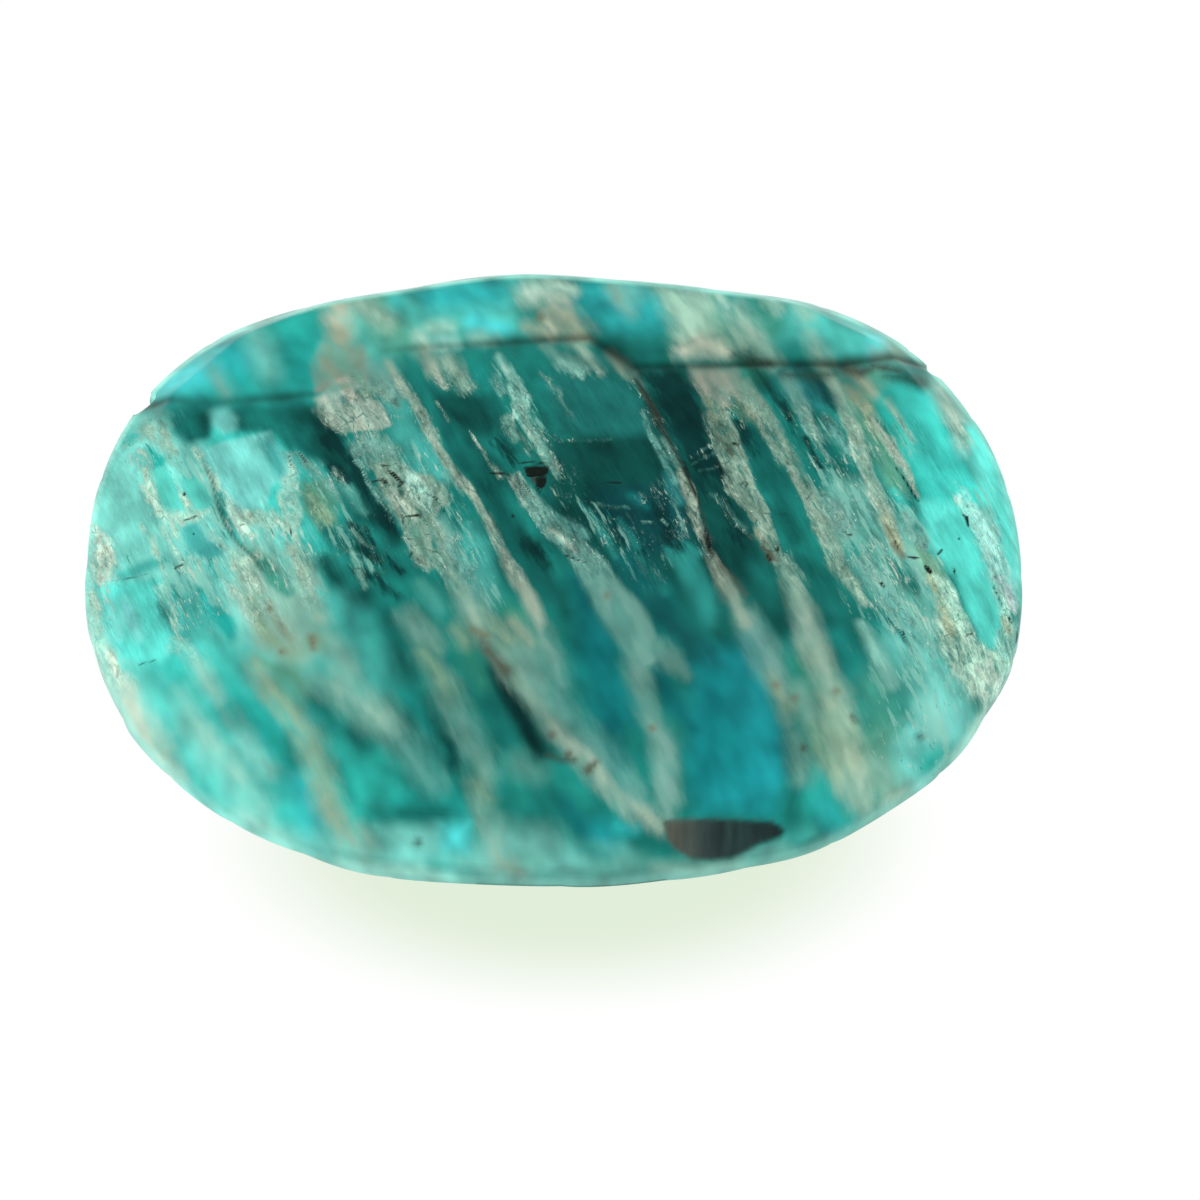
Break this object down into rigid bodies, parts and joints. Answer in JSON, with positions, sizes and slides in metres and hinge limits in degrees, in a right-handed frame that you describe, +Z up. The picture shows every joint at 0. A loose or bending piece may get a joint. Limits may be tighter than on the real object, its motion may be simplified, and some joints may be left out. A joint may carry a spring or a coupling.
{
  "type": "faceted amazonite gemstone",
  "caption": "Cut and polished oval amazonite: low faceted crown with a steep rim bevel over a narrowing underside and small base flat, teal with slanting pale bands and a stained fracture.",
  "frame": {"origin": "middle of the base flat that the stone rests on, at the bottom centre of its box", "axes": "+Z up through the crown, +X along the long axis, +Y towards the side of the crown that the fracture crosses; the patch of natural skin is on the -Y side"},
  "size_m": [0.0242, 0.0198, 0.0074],
  "materials": {
    "amazonite": "polished translucent teal feldspar with cream albite lamellae"
  },
  "bodies": {
    "root": {"stone": "amazonite"}
  },
  "joints": []
}
